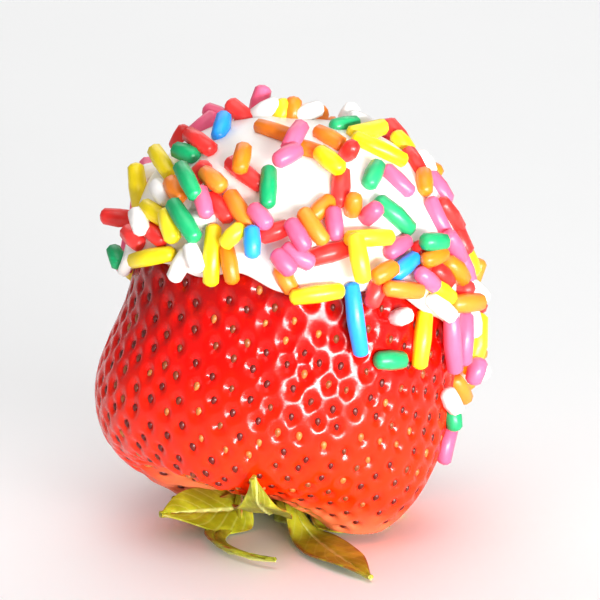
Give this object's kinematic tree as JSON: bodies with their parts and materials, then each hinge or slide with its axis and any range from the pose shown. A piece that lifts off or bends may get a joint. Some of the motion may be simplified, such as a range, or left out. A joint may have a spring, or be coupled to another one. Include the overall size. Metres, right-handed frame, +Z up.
{
  "type": "chocolate coated strawberry",
  "caption": "Ripe strawberry standing on its green calyx, its tip dipped slantwise in white chocolate and rolled in rainbow rod sprinkles.",
  "frame": {"origin": "centre of the stem stub's flat cut end, on the surface that the berry stands on", "axes": "+Z up through the berry towards its tip; the side with the cleft and the short shoulder, where the most red shows, faces -Y; the coat reaches lowest towards +X and +Y"},
  "size_m": [0.0393, 0.0401, 0.0423],
  "materials": {
    "berry": "glossy ripe strawberry skin, deeper red under the coat, orange red low down",
    "seed": "small golden brown seeds in pits",
    "white_chocolate": "set white chocolate with a soft sheen",
    "sprinkles": "rod sprinkles in red, orange, yellow, pink, green, white and blue",
    "calyx": "olive to yellow green leaf with pale veins"
  },
  "bodies": {
    "root": {"berry_flesh": "berry", "chocolate_coat": "white_chocolate", "calyx": "calyx"}
  },
  "joints": []
}
